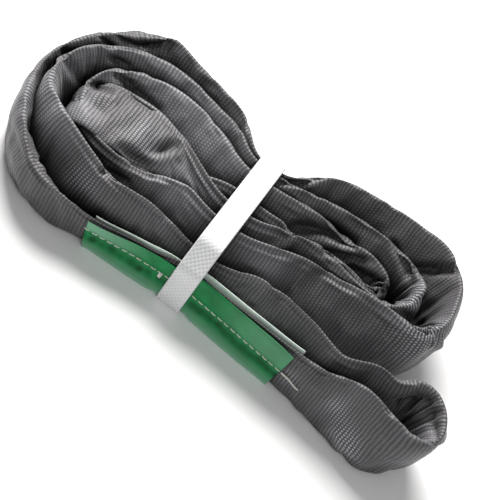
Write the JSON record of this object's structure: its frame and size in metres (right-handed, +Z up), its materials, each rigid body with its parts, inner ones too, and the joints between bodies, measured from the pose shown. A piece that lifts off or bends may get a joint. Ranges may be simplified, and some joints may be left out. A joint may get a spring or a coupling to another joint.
{
  "type": "round sling",
  "caption": "Endless soft lifting sling in a woven tubular cover, coiled on edge into a bundle and held by a strap, with a folded sewn label.",
  "frame": {"origin": "on the resting plane under the middle of the strap", "axes": "+X along the bundle towards the end with the small extra lobe, +Y away from the labelled side, +Z up"},
  "size_m": [0.2733, 0.1326, 0.0407],
  "materials": {
    "cover_fabric": "coarse plain weave polyester, slightly shiny yarns",
    "core_yarn": "bundled filament yarn",
    "tie_tape": "wound adhesive tape",
    "label_vinyl": "glossy coated vinyl, pale on its inner leaf",
    "sewing_thread": "twisted polyester thread",
    "strap_plastic": "embossed strapping"
  },
  "bodies": {
    "sling": {"cover_sleeve": "cover_fabric", "cover_tucked_end": "cover_fabric", "core_hank": "core_yarn", "core_tie_tape": "tie_tape", "label_wrap": "label_vinyl", "label_stitching": "sewing_thread", "stitch_backtack": "sewing_thread"},
    "strap": {"strap_band": "strap_plastic"},
    "label_flap_left": {"label_flap_left": "label_vinyl"},
    "label_flap_right": {"label_flap_right": "label_vinyl"},
    "thread_tail": {"thread_tail": "sewing_thread"}
  },
  "joints": [
    {"name": "strap_slide", "type": "slide", "parent": "sling", "child": "strap", "axis": [1, 0, 0], "range_m": [-0.003, 0.003]},
    {"name": "label_flap_left_lift", "type": "hinge", "parent": "sling", "child": "label_flap_left", "pos_m": [-0.03843, -0.04707, 0.01712], "axis": [0.9947, 0.103, 0], "range_deg": [0, 50]},
    {"name": "label_flap_right_lift", "type": "hinge", "parent": "sling", "child": "label_flap_right", "pos_m": [0.04381, -0.04826, 0.01712], "axis": [0.9922, -0.1248, 0], "range_deg": [0, 50]},
    {"name": "thread_tail_swing", "type": "hinge", "parent": "sling", "child": "thread_tail", "pos_m": [0.06541, -0.05098, 0.016], "axis": [-0.1248, -0.9922, 0], "range_deg": [-35, 35]}
  ]
}
